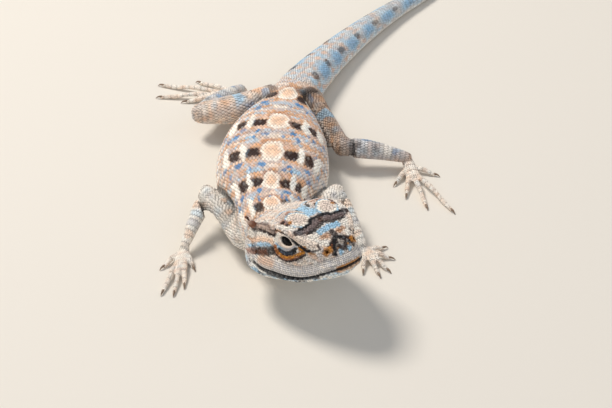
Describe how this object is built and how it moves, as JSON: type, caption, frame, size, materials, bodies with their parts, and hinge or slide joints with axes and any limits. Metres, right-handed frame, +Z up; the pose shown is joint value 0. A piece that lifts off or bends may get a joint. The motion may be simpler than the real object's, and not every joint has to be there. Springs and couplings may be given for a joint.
{
  "type": "sand agama model",
  "caption": "Life-size still model of a young sand agama lying flat on the ground, head turned to its left, limbs sprawled, long tapering tail curving away.",
  "frame": {"origin": "on the floor, at the middle of the floor area that the animal covers", "axes": "+Z up, +Y from the trunk towards the tip of the tail, the head towards -Y, +X to the animal's left"},
  "size_m": [0.0871, 0.1734, 0.0223],
  "materials": {
    "skin": "dry scaly skin, tan with pale ovals, dark brown blotches and blue spots",
    "pale_skin": "dry scaly skin, cream to pale grey",
    "tail_skin": "dry keeled scales, pale grey with dark brown and blue spots",
    "eye": "glossy, near black with a pale yellow ring"
  },
  "bodies": {
    "root": {"head": "skin", "lower_jaw": "pale_skin", "eye_left": "eye", "eye_right": "eye", "neck": "skin", "torso": "skin", "tail_base": "skin", "tail_middle": "tail_skin", "tail_rear": "tail_skin", "tail_tip": "tail_skin", "upper_arm_left": "skin", "upper_arm_right": "skin", "forearm_left": "skin", "forearm_right": "skin", "hand_left": "pale_skin", "hand_right": "pale_skin", "thigh_left": "skin", "thigh_right": "skin", "shin_left": "skin", "shin_right": "skin", "foot_left": "pale_skin", "foot_right": "pale_skin"}
  },
  "joints": []
}
